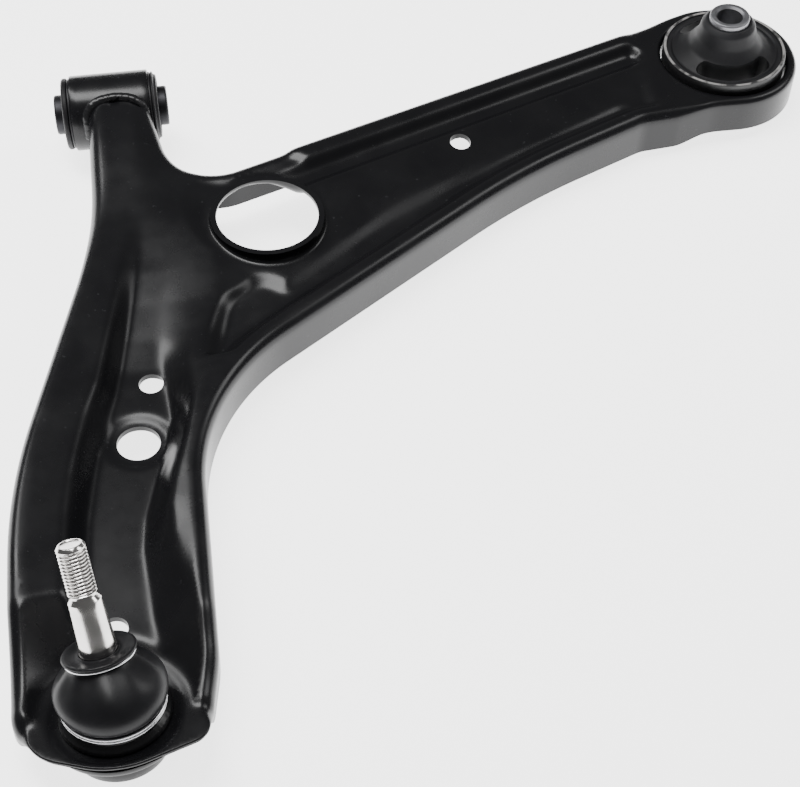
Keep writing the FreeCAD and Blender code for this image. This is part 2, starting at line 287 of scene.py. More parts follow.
def revolve(name, profile, base, axis, body, material, replaces=(), around=144, step=3.0,
            shape=None, sharp=35):
    """Solid of revolution of a closed rounded polygon of (radius, height, corner radius).

    shape, if given, returns the radii of a ring from its radius, height and angles.
    """
    u, v, w = axes_for(axis)
    turns = np.arange(around) * 2 * pi / around
    spokes = np.cos(turns)[:, None] * u + np.sin(turns)[:, None] * v
    rings = []
    for r, h in rounded(profile, step):
        if r < 1e-6:
            rings.append([base + w * h])
            continue
        radii = shape(r, h, turns) if shape else np.full(around, r)
        rings.append(list(base + w * h + spokes * radii[:, None]))
    return rings_mesh(name, rings, body, material, replaces, sharp)


def bead(name, path, radius, body, material, replaces=(), ripple=0.0, pitch=3.0):
    """A round bar with drawn-in ends, swept along a path; ripple scallops it like a weld."""
    path = np.asarray(path, float)
    after, before = np.roll(path, -1, 0), np.roll(path, 1, 0)
    after[-1], before[0] = path[-1], path[0]
    tangent = after - before
    tangent /= np.linalg.norm(tangent, axis=1)[:, None]
    run = np.r_[0, np.cumsum(np.linalg.norm(np.diff(path, axis=0), axis=1))]
    side = axes_for(tangent[0])[0]
    turns = np.arange(16) * 2 * pi / 16
    rings = []
    for k, (point, along) in enumerate(zip(path, tangent)):
        side = unit(side - along * (side @ along))
        up = np.cross(along, side)
        phase = (run[k] / pitch) % 1
        r = radius * (1 + ripple * (phase ** 0.6 - 0.6))
        from_end = min(k, len(path) - 1 - k)
        r *= min(1, 0.35 + (from_end / 2) * 0.35)
        rings.append([point + (side * cos(t) + up * sin(t)) * r for t in turns])
    rings = [[path[0]]] + rings + [[path[-1]]]
    return rings_mesh(name, rings, body, material, replaces, 60)


# ---- materials -----------------------------------------------------------------------------
def material(name, color, roughness, metallic=0.0, specular=0.5):
    """A material and its shader node, with plain constants on the shader's sockets."""
    mat = bpy.data.materials.new(name)
    mat.use_nodes = True
    shader = mat.node_tree.nodes["Principled BSDF"]
    shader.inputs["Base Color"].default_value = (*color, 1)
    shader.inputs["Roughness"].default_value = roughness
    shader.inputs["Metallic"].default_value = metallic
    shader.inputs["Specular IOR Level"].default_value = specular
    return mat, shader


def node(mat, kind, **inputs):
    """A new node with some inputs set; an underscore in a name stands for a space."""
    made = mat.node_tree.nodes.new(kind)
    for key, value in inputs.items():
        made.inputs[key.replace("_", " ")].default_value = value
    return made


def link(mat, a, b):
    mat.node_tree.links.new(a, b)


def noise(mat, scale, detail=4.0, rough=0.55):
    """Noise in object space."""
    place = mat.node_tree.nodes.new("ShaderNodeTexCoord")
    shift = node(mat, "ShaderNodeMapping")
    made = node(mat, "ShaderNodeTexNoise", Scale=scale, Detail=detail, Roughness=rough)
    link(mat, place.outputs["Object"], shift.inputs["Vector"])
    link(mat, shift.outputs["Vector"], made.inputs["Vector"])
    return made.outputs["Fac"]


def ramp(mat, source, low, high, out_low=0.0, out_high=1.0):
    """Maps low to high onto out_low to out_high."""
    made = node(mat, "ShaderNodeMapRange", From_Min=low, From_Max=high,
                To_Min=out_low, To_Max=out_high)
    link(mat, source, made.inputs["Value"])
    return made.outputs["Result"]


def mixed(mat, factor, a, b):
    """Colour a where factor is 0, colour b where it is 1."""
    made = mat.node_tree.nodes.new("ShaderNodeMix")
    made.data_type = "RGBA"
    made.inputs["A"].default_value, made.inputs["B"].default_value = (*a, 1), (*b, 1)
    link(mat, factor, made.inputs["Factor"])
    return made.outputs["Result"]


def bump(mat, shader, height, strength, distance=0.0002):
    made = node(mat, "ShaderNodeBump", Strength=strength, Distance=distance)
    link(mat, height, made.inputs["Height"])
    link(mat, made.outputs["Normal"], shader.inputs["Normal"])


def coated(name, color, dusty, low, high, peel=0.12):
    """Black dip coat: cloudy gloss, faint orange peel and a few light specks."""
    mat, shader = material(name, color, 0.3, specular=0.3)
    cloud = noise(mat, 38, 5)
    link(mat, ramp(mat, cloud, 0.3, 0.7, low, high), shader.inputs["Roughness"])
    specks = ramp(mat, noise(mat, 420, 2, 0.5), 0.70, 0.76)
    link(mat, mixed(mat, specks, color, dusty), shader.inputs["Base Color"])
    bump(mat, shader, noise(mat, 900, 2), peel, 0.00008)
    return mat


def rubbery(name, color, low, high, grain=0.35):
    """Rubber or plastic with a fine grain and paler patches; low and high are its roughness."""
    mat, shader = material(name, color, 0.5, specular=0.22)
    link(mat, ramp(mat, noise(mat, 60, 5), 0.3, 0.7, low, high), shader.inputs["Roughness"])
    lighter = tuple(c * 1.9 for c in color)
    patches = ramp(mat, noise(mat, 25, 4), 0.4, 0.75)
    link(mat, mixed(mat, patches, color, lighter), shader.inputs["Base Color"])
    bump(mat, shader, noise(mat, 1500, 3), grain, 0.0001)
    return mat


def metal(name, color, low, high, grain=0.15):
    """Bare metal with darker patches and a fine grain; low and high are its roughness."""
    mat, shader = material(name, color, 0.25, metallic=1.0)
    link(mat, ramp(mat, noise(mat, 90, 4), 0.3, 0.7, low, high), shader.inputs["Roughness"])
    darker = tuple(c * 0.72 for c in color)
    patches = ramp(mat, noise(mat, 140, 5), 0.45, 0.8)
    link(mat, mixed(mat, patches, color, darker), shader.inputs["Base Color"])
    bump(mat, shader, noise(mat, 700, 3), grain, 0.00006)
    return mat


COAT = coated("black dip coat", (0.0065, 0.0065, 0.0075), (0.02, 0.02, 0.022), 0.22, 0.33)
WELD = coated("coated weld bead", (0.012, 0.012, 0.013), (0.05, 0.05, 0.052), 0.2, 0.34, 0.5)
SATIN = coated("satin black coat", (0.013, 0.013, 0.0145), (0.04, 0.04, 0.042), 0.34, 0.5)
RUBBER = rubbery("bush rubber", (0.009, 0.009, 0.01), 0.42, 0.6)
BOOT = rubbery("boot rubber", (0.007, 0.007, 0.008), 0.3, 0.42, 0.2)
SLEEVE = metal("phosphated sleeve", (0.30, 0.30, 0.315), 0.38, 0.55, 0.3)
DARK_SLEEVE = metal("black phosphated sleeve", (0.035, 0.035, 0.038), 0.4, 0.55, 0.3)
BRIGHT = metal("turned bright steel", (0.74, 0.72, 0.70), 0.12, 0.2)
WIRE = metal("drawn wire", (0.72, 0.72, 0.74), 0.16, 0.26)
SPRING = metal("blued spring steel", (0.20, 0.21, 0.25), 0.3, 0.45)
PLASTIC = rubbery("natural acetal", (0.72, 0.70, 0.64), 0.35, 0.5, 0.1)


def painted_edge_highlight(name, base, highlight_colour, level):
    """Black paint with a painted highlight: a pale colour in patches above a level."""
    mat, shader = material(name, base, 0.35)
    place = mat.node_tree.nodes.new("ShaderNodeTexCoord")
    split = mat.node_tree.nodes.new("ShaderNodeSeparateXYZ")
    link(mat, place.outputs["Object"], split.inputs["Vector"])
    high = ramp(mat, split.outputs["Z"], level - 0.0001, level + 0.0001)
    patchy = ramp(mat, noise(mat, 160, 4), 0.42, 0.56, 0.05, 0.7)
    # the pale patches above the level are a painted highlight
    painted_highlight = node(mat, "ShaderNodeMath")
    painted_highlight.operation = "MULTIPLY"
    link(mat, high, painted_highlight.inputs[0])
    link(mat, patchy, painted_highlight.inputs[1])
    link(mat, mixed(mat, painted_highlight.outputs["Value"], base, highlight_colour), shader.inputs["Base Color"])
    link(mat, ramp(mat, noise(mat, 60, 4), 0.3, 0.7, 0.3, 0.45), shader.inputs["Roughness"])
    return mat


# the rear can's top edge carries a painted highlight in pale patches
CAN_COAT = painted_edge_highlight("can, worn at its top edge", (0.012, 0.012, 0.013), (0.42, 0.41, 0.4), 0.00385)
BY_SLOT = {"black_coat": COAT, "weld_metal": WELD, "black_steel": SATIN, "rubber": RUBBER,
           "boot_rubber": BOOT, "sleeve_steel": SLEEVE, "bright_steel": BRIGHT, "ring_steel": WIRE,
           "spring_steel": SPRING, "bearing_plastic": PLASTIC}
for part in frame["record"]["subparts"]:
    cad = frame["nodes"][part["node"]]
    cad.data.materials.clear()
    cad.data.materials.append(BY_SLOT[part["material_slot"]])


# ---- pressed arm ---------------------------------------------------------------------------
def neck_rise(x, y):
    """How far the sheet rises above the rims towards the front bush's tube."""
    return (NECK_TOP - RIM) * smooth((y + 100) / 75) * smooth((34 - x) / 24)


def limb_height(x, y, inward, top):
    """The limb towards the ball joint: a channel between two sloping rims.

    inward is the distance from the outline, and top the height of the rims' crest.
    """
    table = np.array(LIMB)[::-1]
    crest_l, floor_l, floor_r, crest_r, rim_r, floor, top_l, top_r = (
        np.interp(y, table[:, 0], column) for column in table[:, 1:].T)
    rise_l = (floor_l - x) / (floor_l - crest_l)
    rise_r = (x - floor_r) / (crest_r - floor_r)
    z = floor + (top_l - floor) * np.clip(rise_l, 0, 1) + (top_r - floor) * np.clip(rise_r, 0, 1)
    # from each crest the sheet climbs on to the rim; on the right, only short of the web
    right_rim = y < -186
    z += np.clip(x - crest_r, 0, None) / np.maximum(rim_r - crest_r, 1) * (top - top_r) * right_rim
    climb_l = crest_l - x + inward - FLAT_LIMB_RIM
    z += np.clip(crest_l - x, 0, None) / np.maximum(climb_l, 1) * (top - top_l)
    plateau = smooth((y + 112) / 28)              # where the channel runs out, below the neck
    return np.minimum(z * (1 - plateau) + top * plateau, top)


def web_height(x, y, inward, top):
    """The web between the near and far rims, with its pocket, grooves and collar."""
    # a plane that falls from a line along the far groove, and is level with the rim at the boss
    far_crest = -80 + (x - 94) * 0.408
    web = 8.2 - 0.118 * (far_crest - y)
    web += (RIM - web) * smooth((x - 287) / 10)
    # the ridge between the limb's channel and the web
    ridge = np.interp(y, [-192, -171, -155, -110], [5.0, 3.2, 3.8, 6.8])
    cap = np.maximum(web, ridge - 0.12 * np.clip(x - 45, 0, None))
    # the pocket's walls, steeper beside the near rim and beside the ridge
    near = smooth((24 - inward) / 10)
    slope = 0.34 + 0.9 * near * smooth((x - 52) / 14) + 0.6 * smooth((64 - x) / 10)
    away = np.clip(signed_distance(np.stack([x, y], 1), POCKET_CURVE), 0, None)
    z = np.minimum(cap, np.maximum(web, -0.5) - POCKET_DEPTH + slope * away)
    z = np.maximum(z, top - 1.25 * np.clip(inward - FLAT_WEB_RIM, 0, None))
    # the far groove, which fades out beside the big hole
    across = distance_to_path(np.stack([x, y], 1), FAR_GROOVE) / (FAR_GROOVE_WIDTH / 2)
    fade = (0.35 + 0.65 * smooth((x - 60) / 36)) * smooth((x - 44) / 10)
    return z - FAR_GROOVE_DEPTH * smooth((1.3 - across) / 0.75) * fade


def seat_height(x, y, z):
    """The ball joint's inclined seat cuts across the channel, with a dish round the housing."""
    seat_r, seat_start, dish_r, dish_depth = 31, -373, 27.5, 1.7
    n = HOUSING_AXIS
    seat = (n @ BALL + SEAT_TOP - n[0] * x - n[1] * y) / n[2] + x * tan(TIP_DOWN)
    r = np.hypot(x - BALL[0], y - BALL[1])
    out = np.minimum(np.clip(r - seat_r, 0, None) * 0.75, np.clip(y - seat_start, 0, None) * 1.6)
    z = np.where(y < seat_start, seat, np.minimum(z, seat + out))
    z = np.where(r < seat_r, seat, z)
    return z - dish_depth * smooth((dish_r - r) / 2.5)


def make_field():
    """Heights on a fine grid, softened the way sheet follows a press tool."""
    axis_x = np.arange(FIELD_X[0], FIELD_X[1], CELL)
    axis_y = np.arange(FIELD_Y[0], FIELD_Y[1], CELL)
    x, y = (a.ravel() for a in np.meshgrid(axis_x, axis_y))
    inward = -signed_distance(np.stack([x, y], 1), OUTLINE_CURVE)
    top = RIM + neck_rise(x, y)
    crest_r = np.interp(y, [row[0] for row in LIMB[::-1]], [row[4] for row in LIMB[::-1]])
    in_limb = (x < crest_r) | (y < -190)
    z = np.where(in_limb, limb_height(x, y, inward, top), web_height(x, y, inward, top))
    z = np.where((y > -88) & (x < 47), top, z)
    # a dish round the big hole's collar, shallower on the far side, where the rim's slope stays
    r = np.hypot(x - BIG_HOLE[0], y - BIG_HOLE[1])
    beyond = smooth((y + 104) / 24)
    dish = 5.8 + 1.2 * beyond + (0.42 - 0.3 * beyond) * np.clip(r - COLLAR_R - 4, 0, None)
    z = np.minimum(z, dish + 9 * smooth((r - 44) / 12))
    rim_slope = top - 0.7 * np.clip(inward - 6.6, 0, None)
    z = np.where(y > -95, np.maximum(z, rim_slope), z)
    # a shallow recess round the wide hole
    wide_x, wide_y = SMALL_HOLES[0][0]
    r = np.hypot(x - wide_x, y - wide_y)
    z = z - 1.8 * smooth((16.0 - r) / 3.0) * (y < -200)
    z = seat_height(x, y, z)
    field = z.reshape(len(axis_y), len(axis_x))
    reach = 6
    kernel = np.exp(-0.5 * (np.arange(-reach, reach + 1) * CELL / SOFT) ** 2)
    kernel /= kernel.sum()

    def soften(row):
        return np.convolve(np.pad(row, reach, "edge"), kernel, "valid")

    for direction in (0, 1):
        field = np.apply_along_axis(soften, direction, field)
    return field


OUTLINE_CURVE = rounded(OUTLINE, 4.0)
POCKET_CURVE = rounded(POCKET, 4.0)
FIELD_X, FIELD_Y = (-70.0, 400.0), (-420.0, 60.0)
CELL, SOFT = 1.0, 1.5                         # the grid's step, and how widely it is softened
FIELD = make_field()


def height(points):
    """Upper surface of the pressing, in the sheet's frame: a cubic B-spline over the grid."""
    points = np.asarray(points, float)
    u = (points[:, 0] - FIELD_X[0]) / CELL
    v = (points[:, 1] - FIELD_Y[0]) / CELL
    i, j = np.floor(u).astype(int), np.floor(v).astype(int)
    i, j = np.clip(i, 1, FIELD.shape[1] - 3), np.clip(j, 1, FIELD.shape[0] - 3)

    def weights(t):
        return [(1 - t) ** 3 / 6, (3 * t ** 3 - 6 * t ** 2 + 4) / 6,
                (-3 * t ** 3 + 3 * t ** 2 + 3 * t + 1) / 6, t ** 3 / 6]

    wu, wv = weights(u - i), weights(v - j)
    return sum(wv[b] * wu[a] * FIELD[j + b - 1, i + a - 1] for a in range(4) for b in range(4))


def roll_radius(points):
    """Radius of the rolled edge along the outline: tighter at the boss, almost none at the tip."""
    x, y = points.T
    boss = smooth((x - 300) / 20)
    tip = smooth((-374 - y) / 10)
    neck = smooth((y + 130) / 60) * (x < 20)
    return ROLL - 2.6 * boss - 5.2 * tip + 3.5 * neck


def flange_bottom(points, crest):
    """Height of the flange's lower edge along the outline; at the tip there is no flange."""
    x, y = points.T
    bottom = FLANGE + (REAR_FLANGE - FLANGE) * smooth((x - 304) / 18)
    bottom = np.where(y > -60, np.where(x < 40, NECK_FLANGE, bottom), bottom)
    tip = smooth((-371 - y) / 12)
    return bottom * (1 - tip) + (crest - roll_radius(points) - 0.3) * tip


def openings():
    """Rings of points round the openings in the sheet, each with its centre and radius."""
    places = [(BIG_HOLE, COLLAR_R + 3.2, 96), *((centre, r, 56) for centre, r in SMALL_HOLES),
              ((REAR_X, 0), CAN_R + 3.6, 120), (BALL[:2], 18.5, 90)]
    return [(circle(centre, r, n), centre, r) for centre, r, n in places]


def press_plan(chain, loop, holes):
    """The sheet's flat plan inside loop, filled with a lattice of triangles.

    Returns its points, its triangles, and which point each point of loop and holes became.
    """
    low, high = chain.min(0), chain.max(0)
    columns = np.arange(low[0], high[0], LATTICE)
    rows = np.arange(low[1], high[1], LATTICE * sqrt(3) / 2)
    lattice = np.concatenate([np.stack([columns + (k % 2) * LATTICE / 2,
                                        np.full(len(columns), y)], 1) for k, y in enumerate(rows)])
    clear = 0.7 * LATTICE
    lattice = lattice[signed_distance(lattice, loop) < -clear]
    for _, centre, r in holes:
        lattice = lattice[np.hypot(*(lattice - centre).T) > r + clear]
    rings = [loop, *[ring for ring, _, _ in holes]]
    edges, start = [], 0
    for ring in rings:
        n = len(ring)
        edges += [(start + k, start + (k + 1) % n) for k in range(n)]
        start += n
    plan = np.concatenate([*rings, lattice])
    made = delaunay_2d_cdt([Vector(p) for p in plan], edges, [], 0, 1e-6)
    points, triangles = np.array([tuple(v) for v in made[0]]), np.array(made[2])
    middle = points[triangles].mean(1)
    good = signed_distance(middle, loop) < 0
    for _, centre, r in holes:
        good &= np.hypot(*(middle - centre).T) > r * 0.998
    became = {origin: k for k, origins in enumerate(made[3]) for origin in origins}
    return points, triangles[good], became


LATTICE = 1.5                                 # distance between the sheet's points
# Rings up the collar: radius past COLLAR_R, share of the way from the sheet to its top.
COLLAR_RINGS = [(1.6, 0.03), (0.6, 0.14), (0.15, 0.35), (0, 0.6), (0, 1.0)]
# Rings turned down round the rear bush's can: radius past CAN_R, depth below the sheet.
CAN_RINGS = [(2.6, 0.25), (1.7, 0.9), (1.2, 2.0), (1.0, 3.4), (1.0, 14)]


def build_arm():
    """The pressing: its upper skin with rolled edge, flange and collars, made as thick as the sheet."""
    chain = rounded(OUTLINE, 1.6, closed=False)
    keep = np.r_[True, np.hypot(*np.diff(chain, axis=0).T) > 1e-3]
    chain = chain[keep]
    tangent = np.gradient(chain, axis=0)
    tangent /= np.hypot(*tangent.T)[:, None]
    inward = np.stack([-tangent[:, 1], tangent[:, 0]], 1)
    inward[0], inward[-1] = (1, 0), (-1, 0)
    rho = roll_radius(chain)[:, None]
    loop = chain + inward * rho
    crest = height(loop)
    holes = openings()
    points, triangles, became = press_plan(chain, loop, holes)
    verts = [(*p, z) for p, z in zip(points, height(points))]
    faces = [tuple(t) for t in triangles]

    def add_ring(xy, z):
        first = len(verts)
        verts.extend((*p, q) for p, q in zip(xy, z))
        return list(range(first, first + len(xy)))

    def bridge(a, b, closed):
        n = len(a)
        for k in range(n if closed else n - 1):
            face = (a[k], b[k], b[(k + 1) % n], a[(k + 1) % n])
            faces.append(face[::-1] if closed else face)

    # rolled edge, then the flange
    wall, bottom = crest - rho[:, 0], flange_bottom(chain, crest)
    edge = [(chain + inward * rho * (1 - cos(phi)), crest - rho[:, 0] * (1 - sin(phi)))
            for phi in radians(90) * (1 - np.arange(1, 8) / 7)]
    edge += [(chain, wall + (bottom - wall) * t) for t in np.arange(1, 9) / 8]
    previous = [became[k] for k in range(len(chain))]
    for xy, z in edge:
        ring = add_ring(xy, z)
        bridge(previous, ring, False)
        previous = ring

    # collars: one turned up round the big hole, one turned down round the rear bush's can
    start = len(chain)
    for number, (rim, centre, r) in enumerate(holes):
        previous = [became[start + k] for k in range(len(rim))]
        start += len(rim)
        base = height(rim)
        if number == 0:
            rings = [(COLLAR_R + out, base + (COLLAR_TOP - base) * t) for out, t in COLLAR_RINGS]
        elif number == len(SMALL_HOLES) + 1:
            rings = [(CAN_R + out, base - drop) for out, drop in CAN_RINGS]
        else:
            rings = []
        spokes = (rim - np.array(centre)) / r
        for radius, z in rings:
            ring = add_ring(np.array(centre) + spokes * radius, z)
            bridge(previous, ring, True)
            previous = ring

    # from the sheet's frame to the CAD's; the neck's end sinks into the tube's wall
    verts = np.array(verts) @ np.array(Matrix.Rotation(TIP_DOWN, 3, "Y")).T
    x, y, z = verts.T
    inner = TUBE_R - 0.3
    in_tube = (y ** 2 + z ** 2 < inner ** 2) & (np.abs(z) < TUBE_R - 0.5) & (np.abs(x) < 30)
    verts[in_tube, 1] = -np.sqrt(inner ** 2 - verts[in_tube, 2] ** 2)
    low, high = cad_box("arm_body")
    verts = np.clip(verts, low + 0.05, high - 0.05)
    obj = mesh_object("pressed_arm", verts, faces, COAT, 60)
    thick = obj.modifiers.new("sheet", "SOLIDIFY")
    thick.thickness, thick.offset = SHEET * MM, -1
    thick.use_even_offset = False
    baked(obj)
    shaded(obj.data, 55)
    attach(obj, "arm")
    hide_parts("arm_body")


build_arm()


# ---- front bush ----------------------------------------------------------------------------
FRONT, ALONG = np.zeros(3), np.array([1.0, 0, 0])
TUBE_HALF = (cad_box("front_bush_tube")[1] - cad_box("front_bush_tube")[0])[0] / 2
SLEEVE_HALF = (cad_box("front_bush_sleeve")[1] - cad_box("front_bush_sleeve")[0])[0] / 2
revolve("front_tube", [(17.5, -TUBE_HALF, 0.2), (TUBE_R, -TUBE_HALF, 0.9), (TUBE_R, TUBE_HALF, 0.9),
                       (17.5, TUBE_HALF, 0.2)],
        FRONT, ALONG, "arm", COAT, ["front_bush_tube"])
revolve("front_shell", [(16, -22.2, 0.3), (18.5, -22.2, 0.55), (18.5, -21.05, 0.3), (17.45, -21.05, 0.1),
                        (17.45, 21.05, 0.1), (18.5, 21.05, 0.3), (18.5, 22.2, 0.55), (16, 22.2, 0.3)],
        FRONT, ALONG, "arm", SATIN, ["front_bush_shell"])
revolve("front_rubber",
        [(10.55, -24.9, 0.3), (12.2, -25.4, 0.6), (13.4, -24.2, 0.7), (15.0, -24.6, 0.8),
         (18.0, -25.5, 1.2), (19.0, -24.4, 0.9), (19.0, -22.6, 0.5), (17.8, -22.3, 0.1),
         (15.95, -22.3, 0.1),
         (15.95, 22.3, 0.1), (17.8, 22.3, 0.1), (18.6, 22.6, 0.4), (18.6, 23.4, 0.5), (17.2, 24.0, 0.5),
         (16.8, 25.2, 0.6), (14.2, 25.5, 0.6), (13.2, 24.3, 0.7), (10.55, 24.9, 0.3)],
        FRONT, ALONG, "arm", RUBBER, ["front_bush_rubber"])


def serrated(r, h, turns):
    """Fine teeth round the outer edge of the front sleeve's two ends."""
    teeth = 0.1 * np.cos(turns * 36) if abs(h) > SLEEVE_HALF - 0.5 and r > 9 else 0 * turns
    return r + teeth


revolve("front_sleeve_piece",
        [(6.2, -SLEEVE_HALF + 0.8, 0), (7.0, -SLEEVE_HALF, 0), (9.9, -SLEEVE_HALF, 0.2),
         (10.5, -SLEEVE_HALF + 0.8, 0.3), (10.5, SLEEVE_HALF - 0.8, 0.3), (9.9, SLEEVE_HALF, 0.2),
         (7.0, SLEEVE_HALF, 0), (6.2, SLEEVE_HALF - 0.8, 0)],
        FRONT, ALONG, "front_sleeve", DARK_SLEEVE, ["front_bush_sleeve"],
        shape=serrated)


def neck_weld():
    """Weld that climbs one side of the neck, arches over it and comes down the other."""
    # along the tube, degrees up its wall from the horizontal, corner radius
    corners = [(-12.6, -8, 0), (-12.6, 40, 9), (-6.5, 54.5, 14), (3.0, 58.5, 20),
               (12.5, 54.5, 14), (18.0, 40, 9), (18.3, -8, 0)]
    unrolled = [(x, radians(a) * TUBE_R, r) for x, a, r in corners]
    core = TUBE_R - 0.8
    return [(x, -core * cos(s / TUBE_R), core * sin(s / TUBE_R))
            for x, s in rounded(unrolled, 0.5, closed=False)]


bead("neck_weld", neck_weld(), 2.7, "arm", WELD, ["front_tube_weld"],
     ripple=0.08, pitch=3.4)


# ---- rear bush -----------------------------------------------------------------------------
REAR = np.array([REAR_X, 0, 0])
CAN_LOW, CAN_HIGH = cad_box("rear_bush_can")[0][2], cad_box("rear_bush_can")[1][2]
revolve("rear_can", [(CAN_R - 2, CAN_LOW, 0.5), (CAN_R, CAN_LOW, 0.9), (CAN_R, CAN_HIGH, 0.7),
                     (CAN_R - 2, CAN_HIGH, 0.6)],
        REAR, (0, 0, 1), "arm", CAN_COAT, ["rear_bush_can"])
SLEEVE_LOW, SLEEVE_HIGH = cad_box("rear_bush_sleeve")[0][2], cad_box("rear_bush_sleeve")[1][2]
revolve("rear_sleeve_piece",
        [(7.1, SLEEVE_LOW + 0.9, 0), (8.0, SLEEVE_LOW, 0), (10.4, SLEEVE_LOW, 0.3),
         (11.0, SLEEVE_LOW + 0.8, 0.3), (11.0, SLEEVE_HIGH - 0.8, 0.3), (10.4, SLEEVE_HIGH, 0.3),
         (8.2, SLEEVE_HIGH, 0), (7.1, SLEEVE_HIGH - 1.1, 0)],
        REAR, (0, 0, 1), "rear_sleeve", SLEEVE, ["rear_bush_sleeve"])


def kidney(middle, r_in, r_out, reach, low, high):
    """A bar with a kidney-shaped section, about the rear bush's axis."""
    first, last = radians(middle - reach), radians(middle + reach)
    sweep = np.linspace(first, last, 40)
    half_turn = np.linspace(0, pi, 12)[1:-1]
    half, mean = (r_out - r_in) / 2, (r_out + r_in) / 2

    def arc(centre, r, angles):
        return [(centre[0] + r * cos(t), centre[1] + r * sin(t)) for t in angles]

    rim = arc((0, 0), r_out, sweep)
    rim += arc((mean * cos(last), mean * sin(last)), half, last + half_turn)
    rim += arc((0, 0), r_in, sweep[::-1])
    rim += arc((mean * cos(first), mean * sin(first)), half, first - half_turn[::-1])
    pole = (mean * cos(radians(middle)), mean * sin(radians(middle)))
    rings = [[REAR + (x, y, z) for x, y in points]
             for points, z in (([pole], low), (rim, low), (rim, high), ([pole], high))]
    return rings_mesh("void_cutter", rings, None, RUBBER)


rubber = revolve("rear_rubber",
                 [(11.05, -16, 0.5), (24, -14.5, 2), (CAN_R - 2.02, -16.5, 0.5),
                  (CAN_R - 2.02, 3.4, 0.5), (29.9, 3.7, 0.7), (28.9, 2.6, 0.8), (27.6, 3.4, 1.2),
                  (20.5, 7.4, 5), (16.6, 13.0, 5), (14.8, 20.6, 2.4), (12.6, 22.8, 1.4),
                  (11.05, 23.2, 0.4)],
                 REAR, (0, 0, 1), None, RUBBER, step=1.2, around=160)
for middle in (90, 270):
    cutter = kidney(middle, 20.6, 28.2, 44, -24, 20)
    cut = rubber.modifiers.new("void", "BOOLEAN")
    cut.operation, cut.object, cut.solver = "DIFFERENCE", cutter, "EXACT"
    baked(rubber)
    bpy.data.objects.remove(cutter, do_unlink=True)
shaded(rubber.data, 32)
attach(rubber, "arm")
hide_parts("rear_bush_rubber")


# ---- ball joint ----------------------------------------------------------------------------
revolve("joint_housing",
        [(16, -17, 0.3), (20.5, -17, 1.2), (20.5, 7.6, 1.2), (18.2, 8.0, 0.4), (18.2, 13.9, 0.5),
         (15.5, 13.9, 0.5), (12.6, 9.2, 0.4), (16, 9.0, 0.1)],
        BALL, HOUSING_AXIS, "arm", COAT, ["ball_joint_housing"])
revolve("joint_doubler", [(20.5, -2, 0.2), (29, -2, 1.0), (29, 0.95, 0.3), (20.5, 0.95, 0.1)],
        BALL, HOUSING_AXIS, "arm", COAT, ["ball_joint_doubler"])


def scalloped(r, h, turns):
    """Shallow scallops round the outside of the housing's weld."""
    return r + (0.22 * np.abs(np.sin(turns * 27)) - 0.2 if r > 21 else 0 * turns)


revolve("joint_weld", [(20.45, 3.0, 0), (23.4, 3.0, 0.4), (22.6, 4.9, 0.9), (20.45, 6.4, 0)],
        BALL, HOUSING_AXIS, "arm", WELD, ["ball_joint_weld"],
        shape=scalloped)


THREAD_LOW, THREAD_HIGH, THREAD_PITCH, THREAD_DEPTH = 57.2, 76.4, 1.5, 0.85
BALL_R = 13


def stud_shape(r, h, turns):
    """Cuts the helical thread: ridges one pitch apart between the undercut and the top chamfer."""
    if not (THREAD_LOW < h < THREAD_HIGH) or r < 5.5:
        return np.full(len(turns), r)
    phase = (h / THREAD_PITCH - turns / (2 * pi)) % 1
    tooth = np.clip(np.abs(phase - 0.5) * 2.5 - 0.25, 0, 1)
    fade = min(1, (h - THREAD_LOW) / 0.7, (THREAD_HIGH - h) / 0.7)
    return r - THREAD_DEPTH * (1 - tooth) * fade


ball_arc = [(BALL_R * sin(t), BALL_R * cos(t), 0) for t in np.linspace(pi, 0.465, 26)[1:]]
thread = [(6.0, h, 0) for h in np.arange(THREAD_LOW, THREAD_HIGH + 0.01, 0.125)]
revolve("ball_stud_piece",
        [(0, -BALL_R, 0), *ball_arc, (5.8, 15.6, 2), (7.9, 21, 1.5), (7.9, 31, 0),
         (6.82, 53.6, 0.4), (5.3, 55.6, 0.4), (5.2, 56.6, 0), (6.0, THREAD_LOW - 0.1, 0), *thread,
         (5.95, 76.7, 0.2), (5.0, 77.9, 0.2), (4.3, 78.0, 0.2), (4.0, 77.6, 0.2), (0, 77.55, 0)],
        BALL, STUD_AXIS, "stud", BRIGHT, ["ball_stud"], around=96,
        shape=stud_shape, sharp=38)


